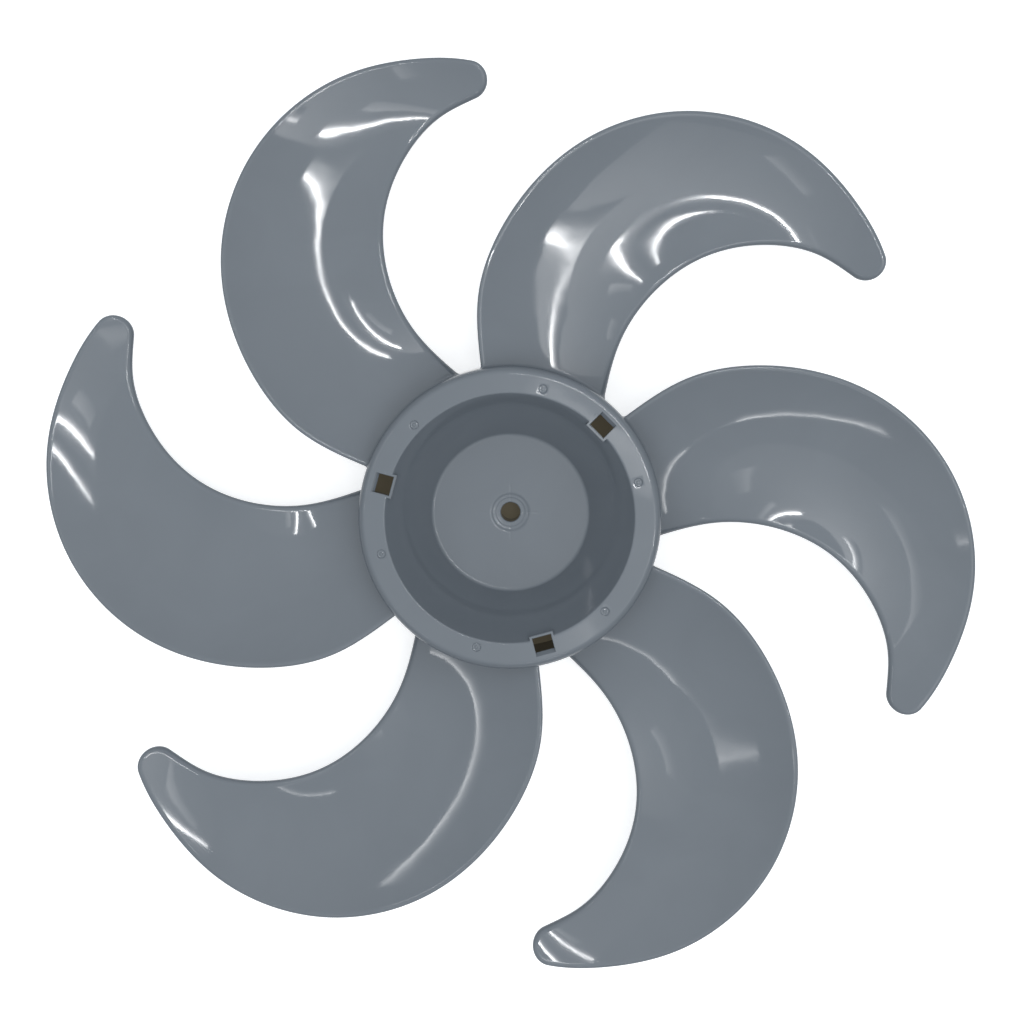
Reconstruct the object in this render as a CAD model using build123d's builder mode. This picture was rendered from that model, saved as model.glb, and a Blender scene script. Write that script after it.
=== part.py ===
"""Six-bladed rotor of a pedestal fan, moulded in one piece.

The hub's back rim stands on z = 0 and the shaft axis is the Z axis. The front of the rotor, with its flange
and its dished bowl, faces +Z. Lengths are in millimetres and angles in degrees.
"""

import os
from math import cos, radians, sin, tan

from build123d import *

# Hub shell: a skirt, a flat flange and a dished bowl, all of one wall
hub_height = 44.0
hub_wall = 2.2
skirt_radius = 60.2
skirt_draft = 0.8
flange_width = 10.5
flange_round = 3.0
flange_inner_round = 0.8
seam_angle = -15.0
floor_height = 16.0
bowl_floor_radius = 32.1
bowl_floor_round = 1.2

# Shaft boss behind the bowl, its stepped seat in front and its drive slot at the back
shaft_radius = 4.0
boss_wall = 4.4
boss_back_clearance = 2.0
recess_radius = 7.6
recess_depth = 0.9
seat_radius = 6.2
seat_depth = 0.6
drive_slot_width = 4.2
drive_slot_depth = 6.0
boss_rib_count = 4
boss_rib_reach = 4.1
boss_rib_width = 1.4
boss_rib_drop = 7.0
overlap = 1.0

# Snap windows through the flange, each behind a low land that stands into the bowl
window_count = 3
window_start_angle = 45.0
window_offset = 1.9
window_length = 5.9
window_width = 7.6
window_land = 1.6
window_land_depth = 5.0
window_lead_in = 1.4

# Pin-point gate marks on the flange
gate_count = 6
gate_start_angle = 15.6
gate_offset = 3.2
gate_radius = 1.8
gate_depth = 0.4
gate_nub_radius = 0.6
gate_nub_height = 0.3

# Blade plan outline, for the blade that stands at the top right of the front view
blade_count = 6
blade_thickness = 2.0
blade_edge_round = 1.4
blade_root_round = 1.5
tip_radius = 7.5
tip_centre = (142.6, 101.5)
tip_trailing_angle = 19.2
tip_leading_angle = -126.5
trailing_points = [
    (-10.0, 43.8),
    (-12.4, 88.7),
    (-2.5, 115.7),
    (32.1, 150.4),
    (74.4, 160.4),
    (117.5, 145.9),
    (138.8, 124.1),
]
leading_points = [
    (125.0, 104.0),
    (104.1, 108.4),
    (76.7, 102.9),
    (53.9, 85.1),
    (45.4, 71.7),
    (34.9, 29.9),
]

# Blade front surface: its depth under the flange along three arcs about the centre that the blade
# curls round, each at the blade's root, at two places between and at its tip
curl_centre = (92.0, 58.0)
root_direction = 200.0
tip_direction = 35.0
leading_arc = 50.0
middle_arc = 78.0
trailing_arc = 106.0
leading_depth = (28.0, 16.2, 16.2, 18.5)
middle_depth = (20.5, 14.2, 14.4, 10.5)
trailing_depth = (8.0, 6.2, 5.8, 0.0)
section_count = 8
section_overrun = 12.0
section_margin = 9.0

boss_radius = shaft_radius + boss_wall
flange_radius = skirt_radius - hub_height * tan(radians(skirt_draft))
flange_inner_radius = flange_radius - flange_width
window_centre_radius = flange_inner_radius + window_offset
gate_centre_radius = flange_inner_radius + gate_offset
root_radius = skirt_radius - hub_wall / 2


def curve_through(places, values, place):
    """Value at a place on the polynomial curve that takes the given values at the given places."""
    total = 0.0
    for index, value in enumerate(values):
        weight = 1.0
        for other in places[:index] + places[index + 1:]:
            weight *= (place - other) / (places[index] - other)
        total += weight * value
    return total


def front_height(direction, reach):
    """Height of the blade's front surface, in a direction and at a reach from the curl centre."""
    span = tip_direction - root_direction
    stations = tuple(root_direction + span * step / 3 for step in range(4))
    arcs = (leading_arc, middle_arc, trailing_arc)
    depths_along_arcs = (leading_depth, middle_depth, trailing_depth)
    depths = [curve_through(stations, along_arc, direction) for along_arc in depths_along_arcs]
    return hub_height - curve_through(arcs, depths, reach)


def section_points(direction, lowered):
    """Points of one blade section, from inside the leading edge to outside the trailing edge."""
    first = leading_arc - section_margin
    last = trailing_arc + section_margin
    reaches = [first + (last - first) * step / 4 for step in range(5)]
    return [(reach, front_height(direction, reach) - lowered) for reach in reaches]


def section_plane(direction):
    """Upright plane through the curl centre, with its own X outward and its Y up."""
    angle = radians(direction)
    return Plane(
        origin=(curl_centre[0], curl_centre[1], 0),
        x_dir=(cos(angle), sin(angle), 0),
        z_dir=(sin(angle), -cos(angle), 0),
    )


def on_tip(angle):
    """Point of the tip's round at an angle from the X axis."""
    return (
        tip_centre[0] + tip_radius * cos(radians(angle)),
        tip_centre[1] + tip_radius * sin(radians(angle)),
    )


def along_tip(angle):
    """Direction of the tip's round, run clockwise, at an angle from the X axis."""
    return (sin(radians(angle)), -cos(radians(angle)))


def heading(start, end):
    """Direction from one plan point to another."""
    return (end[0] - start[0], end[1] - start[1])


def distance_from_axis(point):
    """Distance of a point from the shaft axis."""
    return (point.X ** 2 + point.Y ** 2) ** 0.5


def is_rim(edge):
    """True for an edge of the blade's outline, false for its root."""
    return distance_from_axis(edge @ 0.5) > root_radius + blade_thickness / 20


def is_root(edge):
    """True for an edge where a blade meets the skirt."""
    if edge.geom_type == GeomType.LINE:
        return False
    for place in (0.1, 0.5, 0.9):
        point = edge @ place
        skirt_here = skirt_radius - point.Z * tan(radians(skirt_draft))
        if abs(distance_from_axis(point) - skirt_here) > blade_thickness / 40:
            return False
        if not blade_thickness / 2 < point.Z < hub_height - flange_round:
            return False
    return True


# One blade: a lofted blank of cambered sections, cut to the plan outline
with BuildPart() as blade:
    first_direction = root_direction + section_overrun
    last_direction = tip_direction - section_overrun
    for index in range(section_count):
        direction = first_direction + (last_direction - first_direction) * index / (section_count - 1)
        with BuildSketch(section_plane(direction)):
            with BuildLine():
                front = Spline(*section_points(direction, 0))
                back = Spline(*section_points(direction, blade_thickness))
                Line(front @ 0, back @ 0)
                Line(front @ 1, back @ 1)
            make_face()
    loft()
    with BuildSketch() as plan:
        with BuildLine():
            trailing_end = on_tip(tip_trailing_angle)
            leading_end = on_tip(tip_leading_angle)
            trailing_tangents = (heading(*trailing_points[:2]), along_tip(tip_trailing_angle))
            leading_tangents = (along_tip(tip_leading_angle), heading(*leading_points[-2:]))
            Spline(*trailing_points, trailing_end, tangents=trailing_tangents)
            ThreePointArc(trailing_end, on_tip((tip_trailing_angle + tip_leading_angle) / 2), leading_end)
            Spline(leading_end, *leading_points, tangents=leading_tangents)
            Line(leading_points[-1], trailing_points[0])
        make_face()
        Circle(root_radius, mode=Mode.SUBTRACT)
    extrude(amount=hub_height, mode=Mode.INTERSECT)
    widest_faces = blade.faces().sort_by(SortBy.AREA, reverse=True)[:2]
    front_face = widest_faces.sort_by(Axis.Z)[-1]
    fillet(front_face.edges().filter_by(is_rim), blade_edge_round)

# Hub shell, turned from one wall line
with BuildPart() as hub:
    with BuildSketch(Plane.XZ):
        with BuildLine() as wall_line:
            Polyline(
                (0, floor_height),
                (bowl_floor_radius, floor_height),
                (flange_inner_radius, hub_height),
                (flange_radius, hub_height),
                (skirt_radius, 0),
            )
            rounded_corners = (
                ((bowl_floor_radius, 0, floor_height), bowl_floor_round),
                ((flange_inner_radius, 0, hub_height), flange_inner_round),
                ((flange_radius, 0, hub_height), flange_round),
            )
            for corner, corner_round in rounded_corners:
                fillet(wall_line.vertices().sort_by_distance(corner)[0], corner_round)
            offset(amount=hub_wall, side=Side.RIGHT)
        make_face()
    revolve(axis=Axis.Z)

# Lands, windows, gate marks, boss, ribs, seat, bore and drive slot of the hub
with BuildPart() as fan_blade:
    # The hub's seam is turned to lie between two blades
    add(hub.part, rotation=(0, 0, seam_angle))
    # Cut the foot of the drafted skirt flat, to rest on
    split(bisect_by=Plane.XY)

    # Land behind the inner side of each window, standing a little into the bowl
    land_length = window_length + window_land
    land_centre = window_centre_radius - window_land / 2
    with BuildSketch(Plane.XY.offset(hub_height - window_land_depth)):
        with PolarLocations(land_centre, window_count, start_angle=window_start_angle):
            Rectangle(land_length, window_width + 2 * window_land)
    extrude(amount=window_land_depth)

    # Windows cut straight through the flange and the top of the bowl's wall
    with BuildSketch(Plane.XY.offset(hub_height)):
        with PolarLocations(window_centre_radius, window_count, start_angle=window_start_angle):
            Rectangle(window_length, window_width)
    extrude(amount=-2 * window_land_depth, mode=Mode.SUBTRACT)

    # Gate marks: a shallow drafted dimple with the gate's stub standing in it
    with BuildSketch(Plane.XY.offset(hub_height)):
        with PolarLocations(gate_centre_radius, gate_count, start_angle=gate_start_angle):
            Circle(gate_radius)
    extrude(amount=-gate_depth, taper=30, mode=Mode.SUBTRACT)
    with BuildSketch(Plane.XY.offset(hub_height - gate_depth)):
        with PolarLocations(gate_centre_radius, gate_count, start_angle=gate_start_angle):
            Circle(gate_nub_radius)
    extrude(amount=gate_nub_height)

    # Boss and its ribs, behind the bowl's floor
    boss_height = floor_height - hub_wall / 2 - boss_back_clearance
    with BuildSketch(Plane.XY.offset(boss_back_clearance)):
        Circle(boss_radius)
    extrude(amount=boss_height)
    with BuildSketch(Plane.XY.offset(floor_height - hub_wall / 2)):
        with PolarLocations(boss_radius + (boss_rib_reach - overlap) / 2, boss_rib_count):
            Rectangle(boss_rib_reach + overlap, boss_rib_width)
    extrude(amount=-boss_rib_drop)

    # Stepped seat, bore and drive slot
    with BuildSketch(Plane.XY.offset(floor_height)):
        Circle(recess_radius)
    extrude(amount=-recess_depth, taper=20, mode=Mode.SUBTRACT)
    with BuildSketch(Plane.XY.offset(floor_height - recess_depth)):
        Circle(seat_radius)
    extrude(amount=-seat_depth, taper=20, mode=Mode.SUBTRACT)
    with Locations((0, 0, floor_height)):
        Hole(shaft_radius)
    with BuildSketch(Plane.XY.offset(boss_back_clearance)):
        Rectangle(2 * (boss_radius + overlap), drive_slot_width)
    extrude(amount=drive_slot_depth, mode=Mode.SUBTRACT)

    # Lead-in along the outer side of each window
    outer_sides = (
        fan_blade.edges()
        .filter_by(GeomType.LINE)
        .filter_by_position(Axis.Z, hub_height - gate_depth / 2, hub_height + gate_depth / 2)
        .sort_by(lambda edge: edge.center().X ** 2 + edge.center().Y ** 2)[-window_count:]
    )
    chamfer(outer_sides, window_lead_in)

    # Blades, fused to the skirt
    with PolarLocations(0, blade_count):
        add(blade.part)
    fillet(fan_blade.edges().filter_by(is_root), blade_root_round)

os.makedirs("parts", exist_ok=True)
fan_blade.part.label = "fan_blade"
export_step(fan_blade.part, "parts/fan_blade.step")
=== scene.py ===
"""Looks of a pedestal fan's rotor: hub, blades and boss as worked-out surfaces, its plastic and its studio.

The shaft axis is Z and the hub's back rim stands on z = 0. Sizes are in metres; a value that is worked out
in millimetres is marked with MM.
"""

from math import asin, cos, pi, radians, sin, sqrt, tan

import bmesh
import bpy
import numpy as np
from bpy.props import FloatProperty, FloatVectorProperty, IntProperty, PointerProperty
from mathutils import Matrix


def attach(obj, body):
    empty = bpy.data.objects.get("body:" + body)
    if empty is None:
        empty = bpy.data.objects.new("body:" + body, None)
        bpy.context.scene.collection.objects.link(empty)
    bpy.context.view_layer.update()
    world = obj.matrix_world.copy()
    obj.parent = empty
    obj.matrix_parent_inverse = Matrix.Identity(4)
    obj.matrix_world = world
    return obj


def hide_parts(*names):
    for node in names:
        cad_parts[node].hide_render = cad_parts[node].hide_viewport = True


bl_info = {
    "name": "Pedestal Fan Rotor",
    "version": (1, 0, 0),
    "blender": (4, 5, 0),
    "location": "View3D > Sidebar > Fan Rotor",
    "description": "Builds the moulded rotor of a pedestal fan with its plastic and its studio",
    "category": "Object",
}

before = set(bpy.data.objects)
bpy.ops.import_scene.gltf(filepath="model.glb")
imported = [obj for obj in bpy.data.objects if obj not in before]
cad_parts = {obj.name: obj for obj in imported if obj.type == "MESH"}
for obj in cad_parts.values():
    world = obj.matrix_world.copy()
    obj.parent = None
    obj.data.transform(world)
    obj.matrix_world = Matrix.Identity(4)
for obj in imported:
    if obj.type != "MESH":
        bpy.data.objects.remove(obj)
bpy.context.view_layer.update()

MM = 0.001
NODE = "fan_blade"
PLASTIC = "moulded grey plastic"

# Distance within which two points of a mesh are one, and within which two lengths count as the same
MERGE = 0.0005 * MM
NEAR = 0.01 * MM

# Blade plan outline in millimetres, for the blade that stands at the top right of the front view
TRAILING_POINTS = (
    (-10.0, 43.8),
    (-12.4, 88.7),
    (-2.5, 115.7),
    (32.1, 150.4),
    (74.4, 160.4),
    (117.5, 145.9),
    (138.8, 124.1),
)
LEADING_POINTS = (
    (125.0, 104.0),
    (104.1, 108.4),
    (76.7, 102.9),
    (53.9, 85.1),
    (45.4, 71.7),
    (34.9, 29.9),
)

# Depth of the blade's front under the flange in millimetres, along three arcs about the curl centre,
# each at the blade's root, at two places between and at its tip
ARC_RADII = (50.0, 78.0, 106.0)
ARC_DEPTHS = (
    (28.0, 16.2, 16.2, 18.5),
    (20.5, 14.2, 14.4, 10.5),
    (8.0, 6.2, 5.8, 0.0),
)

# Lines of a blade's mesh: along each rim, between the rims, round the root, and across from root to tip
RIM_LINES = 10
INNER_LINES = 52
ROOT_LINES = 10
CROSS_LINES = 190
# How strongly the cross lines crowd at the tip, where the first of them stands in its interval, and from
# which share of the way they are straight
TIP_CROWDING = 1.5
FIRST_CROSS = 0.2
STRAIGHT_FROM = 0.45
# How much of the inner lines' spacing is even, where the rest is closer at the rims
EVEN_SHARE = 0.25
# How far the root reaches under the skirt's face, and how much its hidden end is drawn in
ROOT_DIP = 0.4 * MM
ROOT_DRAWN_IN = 0.01

# Columns of the hub's grid: all of them, half of those across a window and across a gate mark, and those
# over which the grid goes back to its round form
COLUMNS = 480
WINDOW_COLUMNS = 8
GATE_COLUMNS = 4
EASE_COLUMNS = 6
COLUMN_STEP = 2 * pi / COLUMNS
# Rings of the hub's grid: the radial reach of that change, the least gap between two rings, half of a
# gate mark's block, the margin outside a window, and how far the block behind it lies outward
EASE_REACH = 2.5 * MM
RING_GAP = 0.02 * MM
GATE_HALF = 2.4 * MM
WINDOW_MARGIN = 0.6 * MM
BACK_SHIFT = 0.26 * MM
# Where more rings stand: how far under a window's land, up to how far short of the bowl's edge, and how
# far beyond the window's block
UNDER_LAND = 2.7 * MM
SHORT_OF_EDGE = 0.6 * MM
BEYOND_WINDOW = 0.5 * MM
# How many rings beyond a window's block are moved and set to a new height, in front and at the back
FRONT_RESET = 5
BACK_MOVED = 4
BACK_RESET = 2
# Broken edges of a window's land and of its mouth, and how much the land's front narrows
LAND_BREAK = 0.3 * MM
MOUTH_BREAK = 0.2 * MM
LAND_NARROWING = 0.05

# Where the noise turns the plastic's colour into the streaks', and where its polish is best and least
STREAK_ENDS = (0.3, 0.72)
POLISH_ENDS = (0.3, 0.7)

# Lamps: name, both ends in plan, depth in metres, power in watts, fade across and share at the first end
LAMPS = (
    ("near tube", (0.76, -0.24), (1.2, -0.46), 0.1, 1.6, 0.15, 0.3),
    ("middle tube", (-0.02, 0.17), (0.49, -0.055), 0.06, 2.6, 0.17, 0.4),
    ("far tube", (0.1, 0.365), (0.47, 0.15), 0.08, 1.6, 0.15, 0.5),
    ("side panel", (0.12, -0.38), (0.26, -0.66), 0.12, 0.12, 0.5, 1.0),
    ("sheen panel", (0.03, 0.06), (0.27, -0.11), 0.07, 0.2, 1.0, 0.6),
    ("left panel", (-0.9, 0.45), (-1.15, -0.3), 0.15, 0.8, 0.2, 1.0),
    ("front panel", (-0.1, -1.42), (0.45, -1.3), 0.1, 0.5, 0.2, 1.0),
    ("corner panel", (-0.95, -0.92), (-0.42, -0.78), 0.08, 0.25, 0.2, 1.0),
    ("ceiling", (0.0, 0.25), (1.2, -0.35), 0.9, 4.5, 0.5, 0.1),
)


def length(name, description, millimetres):
    """A length property whose default is given in millimetres."""
    return FloatProperty(
        name=name,
        description=description,
        default=millimetres * MM,
        unit="LENGTH",
        subtype="DISTANCE",
        precision=5,
    )


def turn(name, description, degrees):
    """An angle property whose default is given in degrees."""
    return FloatProperty(
        name=name,
        description=description,
        default=radians(degrees),
        unit="ROTATION",
        subtype="ANGLE",
    )


def count(name, description, number):
    """A whole-number property."""
    return IntProperty(name=name, description=description, default=number, min=1)


def amount(name, description, value):
    """A plain number property."""
    return FloatProperty(name=name, description=description, default=value, precision=3)


def colour(name, description, red, green, blue):
    """A colour property in linear light."""
    return FloatVectorProperty(
        name=name,
        description=description,
        default=(red, green, blue),
        subtype="COLOR",
        size=3,
        min=0.0,
        max=1.0,
    )


class HubSizes(bpy.types.PropertyGroup):
    """Sizes of the hub shell, its boss, its windows and its gate marks."""

    height: length("Height", "From the back rim to the flange", 44.0)
    wall: length("Wall", "Thickness of the shell", 2.2)
    skirt_radius: length("Skirt radius", "Outer radius at the back rim", 60.2)
    skirt_draft: turn("Skirt draft", "Draft of the skirt", 0.8)
    flange_width: length("Flange width", "Flat ring round the bowl", 10.5)
    flange_round: length("Flange round", "Round of the flange's outer edge", 3.0)
    flange_inner_round: length("Inner round", "Round of the flange's inner edge", 0.8)
    floor_height: length("Bowl floor height", "Front of the bowl's floor over the back rim", 16.0)
    floor_radius: length("Bowl floor radius", "Radius of the bowl's flat floor", 32.1)
    floor_round: length("Bowl floor round", "Round between the bowl's floor and its wall", 1.8)
    shaft_radius: length("Shaft radius", "Radius of the shaft bore", 4.0)
    boss_radius: length("Boss radius", "Outer radius of the boss", 8.4)
    boss_foot_round: length("Boss foot round", "Round between the boss and the back of the bowl", 0.4)
    boss_clearance: length("Boss clearance", "Back of the boss over the back rim", 2.0)
    slot_width: length("Drive slot width", "Slot across the back of the boss", 4.2)
    slot_depth: length("Drive slot depth", "Depth of that slot", 6.0)
    rib_count: count("Boss ribs", "Number of ribs round the boss", 4)
    rib_reach: length("Rib reach", "How far a rib stands out of the boss", 4.1)
    rib_inside: length("Rib inside", "How far a rib reaches into the boss", 0.8)
    rib_width: length("Rib width", "Thickness of a rib", 1.4)
    rib_drop: length("Rib drop", "Height of a rib", 7.0)
    recess_radius: length("Recess radius", "Middle radius of the shallow recess's wall", 7.5)
    recess_depth: length("Recess depth", "Depth of that recess round the bore", 0.5)
    seat_radius: length("Seat radius", "Outer radius of the step in the recess", 6.2)
    seat_depth: length("Seat depth", "Depth of that step", 0.3)
    bore_break: length("Bore break", "Broken edge at the front of the bore", 0.3)
    recess_slant: turn("Recess slant", "Slant of the recess's and the step's walls", 60)
    seat_round: length("Seat round", "Round of the step's edges", 1.1)
    recess_round: length("Recess round", "Round of the recess's edges", 1.8)
    window_count: count("Windows", "Number of snap windows", 3)
    window_turn: turn("First window", "Direction of the first window", 45.0)
    window_offset: length("Window offset", "Centre of a window outside the flange's inner edge", 1.9)
    window_length: length("Window length", "Radial length of a window", 5.9)
    window_width: length("Window width", "Width of a window", 7.6)
    window_land: length("Window land", "Wall of the land round a window", 1.1)
    window_land_depth: length("Land depth", "Depth of that land", 5.0)
    window_lead_in: length("Lead-in", "Slope at the outer side of a window", 1.4)
    gate_count: count("Gate marks", "Number of gate marks", 6)
    gate_turn: turn("First gate mark", "Direction of the first gate mark", 15.6)
    gate_offset: length("Gate offset", "Centre of a gate mark outside the flange's inner edge", 3.2)
    gate_radius: length("Gate radius", "Radius of a gate mark's dimple", 1.8)
    gate_depth: length("Gate depth", "Depth of that dimple", 0.4)
    gate_draft: turn("Gate draft", "Draft of the dimple's wall", 30.0)
    nub_radius: length("Nub radius", "Radius of the stub in the dimple", 0.6)
    nub_height: length("Nub height", "Height of that stub", 0.3)


class BladeSizes(bpy.types.PropertyGroup):
    """Sizes of the blades."""

    blades: count("Blades", "Number of blades", 6)
    thickness: length("Thickness", "Thickness of a blade", 2.0)
    edge_width: length("Edge width", "Width of the front rim's round", 2.2)
    edge_round: length("Edge drop", "Drop of the front rim's round", 1.4)
    back_round: length("Back round", "Broken edge of the back rim", 0.3)
    root_round: length("Root round", "Round between a blade and the skirt", 1.5)
    tip_radius: length("Tip radius", "Radius of the tip in plan", 7.5)
    tip_x: length("Tip centre X", "Centre of the tip's round", 142.6)
    tip_y: length("Tip centre Y", "Centre of the tip's round", 101.5)
    tip_trailing: turn("Tip start", "Where the tip's round meets the trailing edge", 19.2)
    tip_leading: turn("Tip end", "Where the tip's round meets the leading edge", -126.5)
    curl_x: length("Curl centre X", "Centre that the blade curls round", 92.0)
    curl_y: length("Curl centre Y", "Centre that the blade curls round", 58.0)
    root_turn: turn("Root direction", "Direction of the root from the curl centre", 200.0)
    tip_turn: turn("Tip direction", "Direction of the tip from the curl centre", 35.0)


class PlasticFinish(bpy.types.PropertyGroup):
    """Colour and gloss of the moulded plastic. Scales of its patterns are per metre."""

    tint: colour("Colour", "Colour of the plastic", 0.147, 0.166, 0.188)
    tint_streak: colour("Streak colour", "Colour in the faint flow streaks", 0.157, 0.177, 0.2)
    streak_size: amount("Streak scale", "Scale of the flow streaks", 26.0)
    roughness_low: amount("Least roughness", "Roughness where the mould was best polished", 0.03)
    roughness_high: amount("Most roughness", "Roughness where it was least polished", 0.07)
    polish_size: amount("Polish scale", "Scale of the uneven polish", 45.0)
    waviness: amount("Waviness", "Strength of the slight waviness of the gloss", 0.05)
    wave_size: amount("Wave scale", "Scale of that waviness", 70.0)
    wave_height: length("Wave height", "Height of its waves at full strength", 0.6)
    grain: amount("Grain", "Strength of the fine moulding grain", 0.02)
    grain_size: amount("Grain scale", "Scale of that grain", 1800.0)
    grain_height: length("Grain height", "Its height at full strength", 0.05)
    ior: amount("Index of refraction", "Index of refraction of the plastic", 1.57)
    sink_width: length("Sink width", "Width of the sink lines over the boss's ribs", 0.8)
    sink_reach: length("Sink reach", "How far from the axis the sink lines run", 13.0)
    sink_fade: length("Sink fade", "Over which length they end", 3.0)
    sink_depth: length("Sink depth", "Depth of the sink lines", 0.05)


class Studio(bpy.types.PropertyGroup):
    """Floor, walls, lamps and camera."""

    floor_half: length("Floor", "Half of the floor's side", 4000.0)
    floor_tint: colour("Floor colour", "Colour of the floor", 0.9, 0.9, 0.9)
    floor_glow: amount("Floor glow", "White that the floor adds where it is seen", 0.6)
    floor_rough: amount("Floor roughness", "Roughness of the floor", 0.9)
    # Painted shade: within the hub's rim the floor gets a dark olive colour and only a dim olive glow, which
    # stand in for the shade under the hub with a faint painted light from its windows
    floor_painted_shade: colour("Floor in the hub", "Colour of the floor that the hub covers", 0.17, 0.15, 0.11)
    glow_painted_shade: colour("Glow in the hub", "What that floor adds where it is seen", 0.045, 0.039, 0.027)
    hub_edge: length("Hub edge", "Change of the floor's colour inside and outside the hub's rim", 1.0)
    sky_tint: colour("Sky colour", "Colour of the studio's walls and ceiling", 0.91, 0.96, 1.0)
    sky_overhead: amount("Overhead level", "Light from the ceiling", 1.27)
    sky_horizon: amount("Horizon level", "Light from the foot of the walls", 0.23)
    sky_fall: amount("Fall", "How fast the light falls from the ceiling to the horizon", 1.4)
    sky_right: amount("Right share", "How much lighter the right wall is", 0.1)
    sky_far: amount("Far share", "How much lighter the far wall is", 0.05)
    backdrop_top: amount("Backdrop top", "Sine of the elevation to which the backdrop is white", 0.4)
    backdrop_mirrored: amount("Mirrored backdrop", "The same for what gloss shows of it", 0.1)
    lamp_height: length("Lamp height", "Height of the lamps over the floor", 2200.0)
    camera_height: length("Camera height", "Height of the camera over the floor", 630.98602)
    camera_x: length("Camera X", "Place of the camera", 7.51066)
    camera_y: length("Camera Y", "Place of the camera", 53.7773)
    camera_nod: turn("Camera nod", "Tilt of the camera about X", -1.0164)
    camera_roll: turn("Camera sway", "Tilt of the camera about Y", 0.4165)
    camera_near: length("Nearest seen", "Nearest distance that the camera shows", 10.0)
    sensor: amount("Sensor", "Width of the camera's sensor in millimetres", 36.0)
    lens: amount("Lens", "Focal length in millimetres", 52.766)
    shift_x: amount("Shift X", "Sideways shift of the lens", -0.0058)
    shift_y: amount("Shift Y", "Upward shift of the lens", -0.10193)


def ease(part):
    """Smooth step from 0 to 1: three times the square less twice the cube of the part, kept in 0 to 1."""
    part = np.clip(part, 0, 1)
    return part * part * (3 - 2 * part)


def polar(points):
    """Distance of points from the shaft axis, and their direction."""
    return np.linalg.norm(points[..., :2], axis=-1), np.arctan2(points[..., 1], points[..., 0])


def ring_points(reach, angle):
    """Plan points at a distance from the shaft axis and in a direction: (r cos a, r sin a)."""
    return reach[..., None] * np.stack((np.cos(angle), np.sin(angle)), axis=-1)


def turned(points, angle):
    """Points turned about the shaft axis."""
    out = np.array(points, float)
    out[..., 0] = points[..., 0] * cos(angle) - points[..., 1] * sin(angle)
    out[..., 1] = points[..., 0] * sin(angle) + points[..., 1] * cos(angle)
    return out


def directions(first, number):
    """Directions shared out evenly round the axis from a first one."""
    return [first + 2 * pi * index / number for index in range(number)]


def grid_quads(numbers):
    """Quads between the neighbouring rows and columns of a grid of vertex numbers that closes on itself."""
    beside = np.roll(numbers, -1, axis=1)
    quads = np.stack((numbers[:-1], beside[:-1], beside[1:], numbers[1:]), axis=-1)
    return quads.reshape(-1, 4)


def rounded_line(corners, turn_step=radians(6), guard=0.25 * MM):
    """Line through corners (radius, height, round), where each round is an arc tangent to both its legs.

    The arc's centre lies on the corner's bisector. One more point stands just before and after each arc,
    so that the shading of the straight run beside it stays flat.
    """
    line = [np.array(corners[0][:2])]
    for before, here, after in zip(corners, corners[1:], corners[2:]):
        corner = np.array(here[:2])
        into = corner - np.array(before[:2])
        away = np.array(after[:2]) - corner
        into_length = np.linalg.norm(into)
        away_length = np.linalg.norm(away)
        into = into / into_length
        away = away / away_length
        cross = into[0] * away[1] - into[1] * away[0]
        bend = np.arctan2(cross, into @ away)
        cut = here[2] * tan(abs(bend) / 2)
        arc = [corner]
        if here[2] > 0:
            side = np.sign(cross) * np.array((-into[1], into[0]))
            centre = corner - into * cut + side * here[2]
            steps = np.linspace(0, bend, max(2, int(abs(bend) / turn_step) + 1) + 1)
            spokes = np.tile(-side * here[2], (len(steps), 1))
            arc = [centre + turned(spoke, step) for spoke, step in zip(spokes, steps)]
        if into_length - cut > 3 * guard:
            line.append(corner - into * (cut + guard))
        line.extend(arc)
        if away_length - cut > 3 * guard:
            line.append(corner + away * (cut + guard))
    line.append(np.array(corners[-1][:2]))
    return np.array(line)


def smooth_curve(points, first_heading, last_heading, samples):
    """Points on cubic legs through the given points that share slope and bend where they meet.

    The parameter is the chord length, and the slopes at the inner points solve the usual three-term system.
    """
    points = np.asarray(points, float)
    legs = np.linalg.norm(np.diff(points, axis=0), axis=1)
    number = len(points)
    system = np.eye(number)
    wanted = np.zeros((number, 2))
    wanted[0] = np.array(first_heading) / np.linalg.norm(first_heading)
    wanted[-1] = np.array(last_heading) / np.linalg.norm(last_heading)
    chords = np.diff(points, axis=0) / legs[:, None]
    inner = np.arange(1, number - 1)
    system[inner, inner - 1] = legs[1:]
    system[inner, inner] = 2 * (legs[:-1] + legs[1:])
    system[inner, inner + 1] = legs[:-1]
    wanted[inner] = 3 * (legs[1:, None] * chords[:-1] + legs[:-1, None] * chords[1:])
    slopes = np.linalg.solve(system, wanted)
    knots = np.concatenate(([0], np.cumsum(legs)))
    place = np.linspace(0, knots[-1], samples)
    leg = np.clip(np.searchsorted(knots, place, side="right") - 1, 0, number - 2)
    size = legs[leg][:, None]
    part = (place[:, None] - knots[leg][:, None]) / size
    return (
        (2 * part**3 - 3 * part**2 + 1) * points[leg]
        + (part**3 - 2 * part**2 + part) * size * slopes[leg]
        + (3 * part**2 - 2 * part**3) * points[leg + 1]
        + (part**3 - part**2) * size * slopes[leg + 1]
    )


def curve_through(places, values, place):
    """Value at a place on the polynomial curve that takes the given values at the given places."""
    total = 0.0
    for index, value in enumerate(values):
        weight = 1.0
        for other in places[:index] + places[index + 1 :]:
            weight = weight * (place - other) / (places[index] - other)
        total = total + weight * value
    return total


def placed(name, data):
    """New object of a mesh, a lamp or a camera, put into the scene."""
    thing = bpy.data.objects.new(name, data)
    bpy.context.scene.collection.objects.link(thing)
    return thing


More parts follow.
